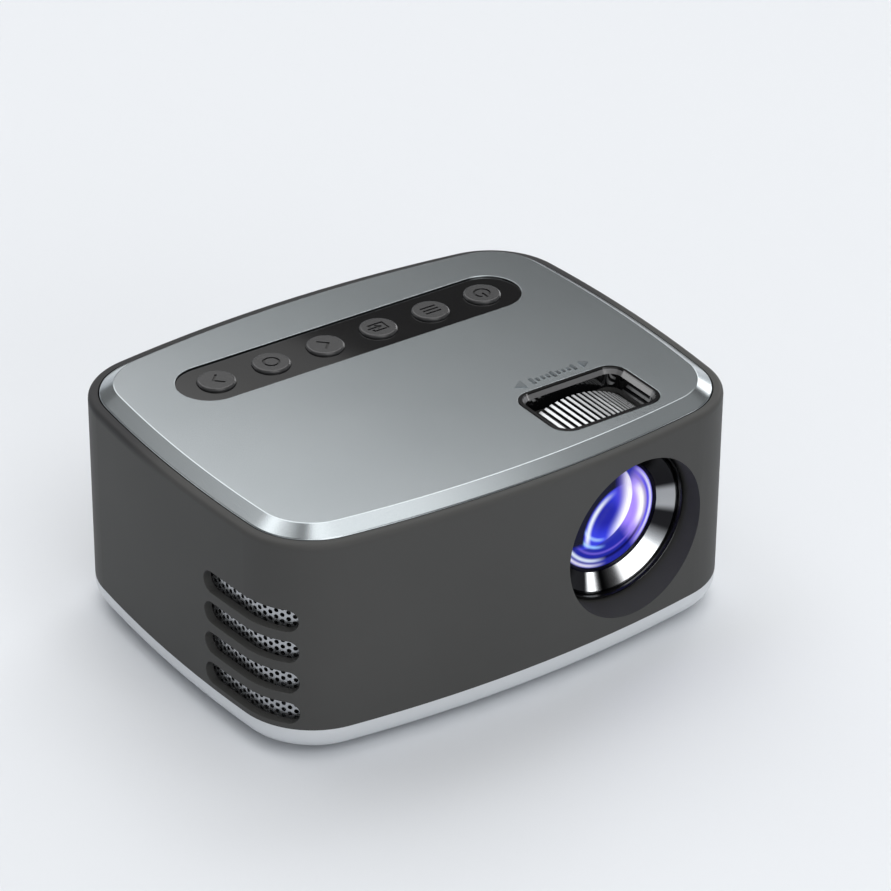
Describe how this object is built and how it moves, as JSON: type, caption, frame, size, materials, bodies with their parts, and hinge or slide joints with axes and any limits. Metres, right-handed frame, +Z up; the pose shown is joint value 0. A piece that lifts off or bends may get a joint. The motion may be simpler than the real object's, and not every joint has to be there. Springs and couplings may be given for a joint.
{
  "type": "mini projector",
  "caption": "Pocket LED projector with a ribbed focus ring under a window, sprung keys, wrap-round vents and rear sockets.",
  "frame": {"origin": "under the middle of the body, on the surface the feet stand on", "axes": "+X right as seen from the lens side, -Y the way the lens looks, +Z up"},
  "size_m": [0.127, 0.1002, 0.0567],
  "materials": {
    "shell_grey": "fine matt texture, dark grey",
    "plate_silver": "satin silver paint",
    "base_silver": "satin light silver paint",
    "gloss_black": "polished black",
    "button_grey": "satin dark grey",
    "mesh_steel": "perforated sheet",
    "foot_rubber": "soft matt",
    "screw_steel": "plated steel",
    "brass": "turned",
    "board_green": "glass-fibre board, solder mask",
    "switch_steel": "pressed",
    "black_plastic": "moulded black",
    "ring_silver": "plated silver ribs",
    "lens_glass": "coated, blue-violet reflection",
    "clear_glass": "clear",
    "lcd_dark": "liquid crystal panel",
    "mirror_glass": "front-silvered",
    "aluminium": "extruded",
    "led_yellow": "phosphor",
    "cone_paper": "black paper",
    "magnet_steel": "zinc plated",
    "chip_black": "moulded package",
    "can_aluminium": "drawn can",
    "socket_steel": "nickel plated sheet",
    "ir_dark": "dark red translucent"
  },
  "bodies": {
    "case": {"housing_shell": "shell_grey", "top_plate": "plate_silver", "base_cover": "base_silver", "button_panel": "gloss_black", "focus_window_bezel": "gloss_black", "vent_mesh_left": "mesh_steel", "vent_mesh_right": "mesh_steel", "rubber_feet": "foot_rubber", "base_screws": "screw_steel", "tripod_bush": "brass", "key_board": "board_green", "key_switches": "switch_steel", "key_board_screws": "screw_steel", "lens_mount": "black_plastic", "lens_mount_screws": "screw_steel", "optical_box": "black_plastic", "optical_box_lid": "black_plastic", "lid_screws": "screw_steel", "optical_box_screws": "screw_steel", "fresnel_rear": "clear_glass", "heat_glass": "clear_glass", "lcd_panel": "lcd_dark", "fresnel_front": "clear_glass", "fold_mirror": "mirror_glass", "condenser_lens": "clear_glass", "led_board": "aluminium", "led_emitter": "led_yellow", "heat_sink": "aluminium", "heat_sink_screws": "screw_steel", "fan_frame": "black_plastic", "speaker_basket": "switch_steel", "speaker_cone": "cone_paper", "speaker_magnet": "magnet_steel", "main_board": "board_green", "main_board_screws": "screw_steel", "main_chips": "chip_black", "capacitors": "can_aluminium", "hdmi_socket": "socket_steel", "usb_socket": "socket_steel", "card_socket": "socket_steel", "av_jack": "black_plastic", "headphone_jack": "black_plastic", "power_jack": "black_plastic", "ir_window": "ir_dark", "ir_receiver": "chip_black"},
    "barrel": {"lens_barrel": "black_plastic", "barrel_pins": "screw_steel", "lens_front_ring": "gloss_black", "front_lens": "lens_glass", "middle_lens": "clear_glass", "rear_lens": "clear_glass", "rear_lens_ring": "black_plastic"},
    "ring": {"focus_ring": "ring_silver"},
    "fan": {"fan_rotor": "black_plastic"},
    "key_previous": {"button_previous": "button_grey"},
    "key_ok": {"button_ok": "button_grey"},
    "key_next": {"button_next": "button_grey"},
    "key_source": {"button_source": "button_grey"},
    "key_menu": {"button_menu": "button_grey"},
    "key_power": {"button_power": "button_grey"}
  },
  "joints": [
    {"name": "previous_press", "type": "slide", "parent": "case", "child": "key_previous", "axis": [0, 0, -1], "range_m": [0, 0.0006], "stiffness_N_per_m": 900},
    {"name": "ok_press", "type": "slide", "parent": "case", "child": "key_ok", "axis": [0, 0, -1], "range_m": [0, 0.0006], "stiffness_N_per_m": 900},
    {"name": "next_press", "type": "slide", "parent": "case", "child": "key_next", "axis": [0, 0, -1], "range_m": [0, 0.0006], "stiffness_N_per_m": 900},
    {"name": "source_press", "type": "slide", "parent": "case", "child": "key_source", "axis": [0, 0, -1], "range_m": [0, 0.0006], "stiffness_N_per_m": 900},
    {"name": "menu_press", "type": "slide", "parent": "case", "child": "key_menu", "axis": [0, 0, -1], "range_m": [0, 0.0006], "stiffness_N_per_m": 900},
    {"name": "power_press", "type": "slide", "parent": "case", "child": "key_power", "axis": [0, 0, -1], "range_m": [0, 0.0006], "stiffness_N_per_m": 900},
    {"name": "focus_turn", "type": "hinge", "parent": "case", "child": "ring", "pos_m": [0.0282, -0.0304, 0.0301], "axis": [0, 1, 0], "range_deg": [-45, 45]},
    {"name": "barrel_slide", "type": "slide", "parent": "case", "child": "barrel", "axis": [0, 1, 0], "range_m": [-0.003, 0.003]},
    {"name": "fan_spin", "type": "hinge", "parent": "case", "child": "fan", "pos_m": [-0.04, -0.0252, 0.0301], "axis": [0, 1, 0], "continuous": true}
  ],
  "couplings": [
    {"joint": "barrel_slide", "follows": "focus_turn", "m_per_rad": -0.0038}
  ]
}
